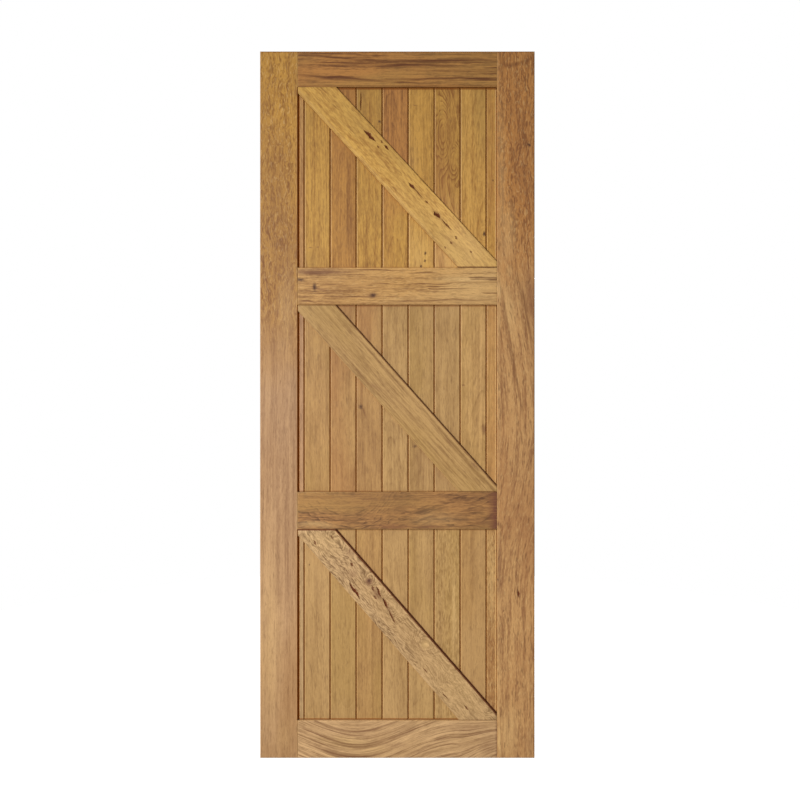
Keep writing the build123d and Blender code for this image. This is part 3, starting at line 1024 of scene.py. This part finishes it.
brace_looks = {
    "top": dict(
        tone="honey", drift="olive", change=dict(tone="straw", height=1.66, blend=0.2), Seed=60.2,
        stains=[(-84, 1850, 12, 30, -40, 0.5), (120, 1612, 16, 26, -40, 0.5), (46, 1697, 9, 22, -40, 0.4)],
        Wander=8 * mm, Curl=8 * mm, Flecks=0.38, pales=[(210, 1520, 130, 160, 0, 0.3)], splits=top_splits),
    "middle": dict(
        tone="tan", drift="olive", Seed=61.9, Wander=6 * mm, Bands=0.65, Fibre=0.4, Rings=0.45, Flecks=0.15,
        Curl=2 * mm,
        stains=[(-67, 1104, 32, 10, 40, 0.4), (155, 937, 36, 7, 47, 0.5), (230, 868, 36, 6, 47, 0.65)]),
    "bottom": dict(
        tone="cream", drift="pale", Seed=63.3, Wander=14 * mm, Curl=37 * mm, Rings=1.0, Flecks=0.4,
        Fibre=0.2, Bands=0.25, Pitch=8 * mm, Heart=(0.2, 0.05, 0),
        swirls=[(-185, 630, 60, 70, 0, 7), (-20, 440, 55, 80, 0, 8), (75, 330, 60, 60, 0, 7),
                (165, 215, 70, 60, 0, 7), (235, 140, 50, 40, 0, 5)],
        stains=[(-140, 613, 22, 22, 0, 0.4), (-131, 548, 20, 25, 0, 0.4), (-83, 525, 18, 20, 0, 1),
                (-62, 488, 17, 34, -35, 0.6), (-28, 450, 9, 40, -30, 0.4)],
        knots=[(-84, 527, 7, 10, 0, 0.8)], splits=bottom_splits,
        pales=[(180, 220, 170, 170, 0, 0.2), (86, 337, 22, 22, 0, 0.5), (-230, 640, 120, 70, 0, 0.25)]),
}
for bay, looks in brace_looks.items():
    name = bay + "_brace"
    run = brace_run(name)
    outwards, lower, upper = brace_edges(bay)
    foot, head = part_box(name)
    edge = bays[bay]
    width, strength = edge["brace"]
    # The brace's long edges, head and foot carry painted shadow and painted shade, and a painted highlight
    # runs just inside its lower edge.
    dark_edges = [(outwards, upper, width / 2 * mm, strength), (outwards, lower, seam_width, edge["seam"]),
                  (upright, foot.z, 4 * mm, edge["foot"]), (upright, head.z, 5 * mm, edge["head"])]
    rim = (outwards, lower + 6 * mm, 4 * mm, edge["rim"])
    brace = plank(name, run, "brace_timber", deep_lines=dark_edges, light_lines=[rim], **looks)
    fall = math.degrees(math.atan2(-run.z, run.x))
    print(brace.name, len(brace.data.polygons), "faces, falls", round(fall), "degrees")

# %% [markdown]
# ## Wedges and brads
# The wedges show only in the stiles' outer edges, as thin slips of darker wood beside the tenon ends, with
# their grain running into the stile. The brads are inside the timber. Both solids are right as they are, so
# they stay and only get a finish.

# %% Wedge timber and brad steel
wedge_timber = timber("wedge_oak", Vector((0, 0, 0)), level, "umber", drift="red", Seed=71.0)
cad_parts["tenon_wedges"].material_slots[0].material = wedge_timber
brad_steel = bpy.data.materials.new("bright_wire")
brad_steel.use_nodes = True
wire = brad_steel.node_tree
place = add_node(wire, "TexCoord").outputs["Object"]
drawn = grained_noise(wire, place, (900, 40, 900), 3)
wire_shader = wire.nodes["Principled BSDF"]
wire_shader.inputs["Metallic"].default_value = 1.0
wire.links.new(mixed(wire, drawn, srgb(176, 176, 180), srgb(128, 126, 126)), wire_shader.inputs["Base Color"])
wire.links.new(ramp(wire, drawn, 0.3, 0.7, 0.25, 0.45), wire_shader.inputs["Roughness"])
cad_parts["brace_brads"].material_slots[0].material = brad_steel
print("wedges and brads have their finish")
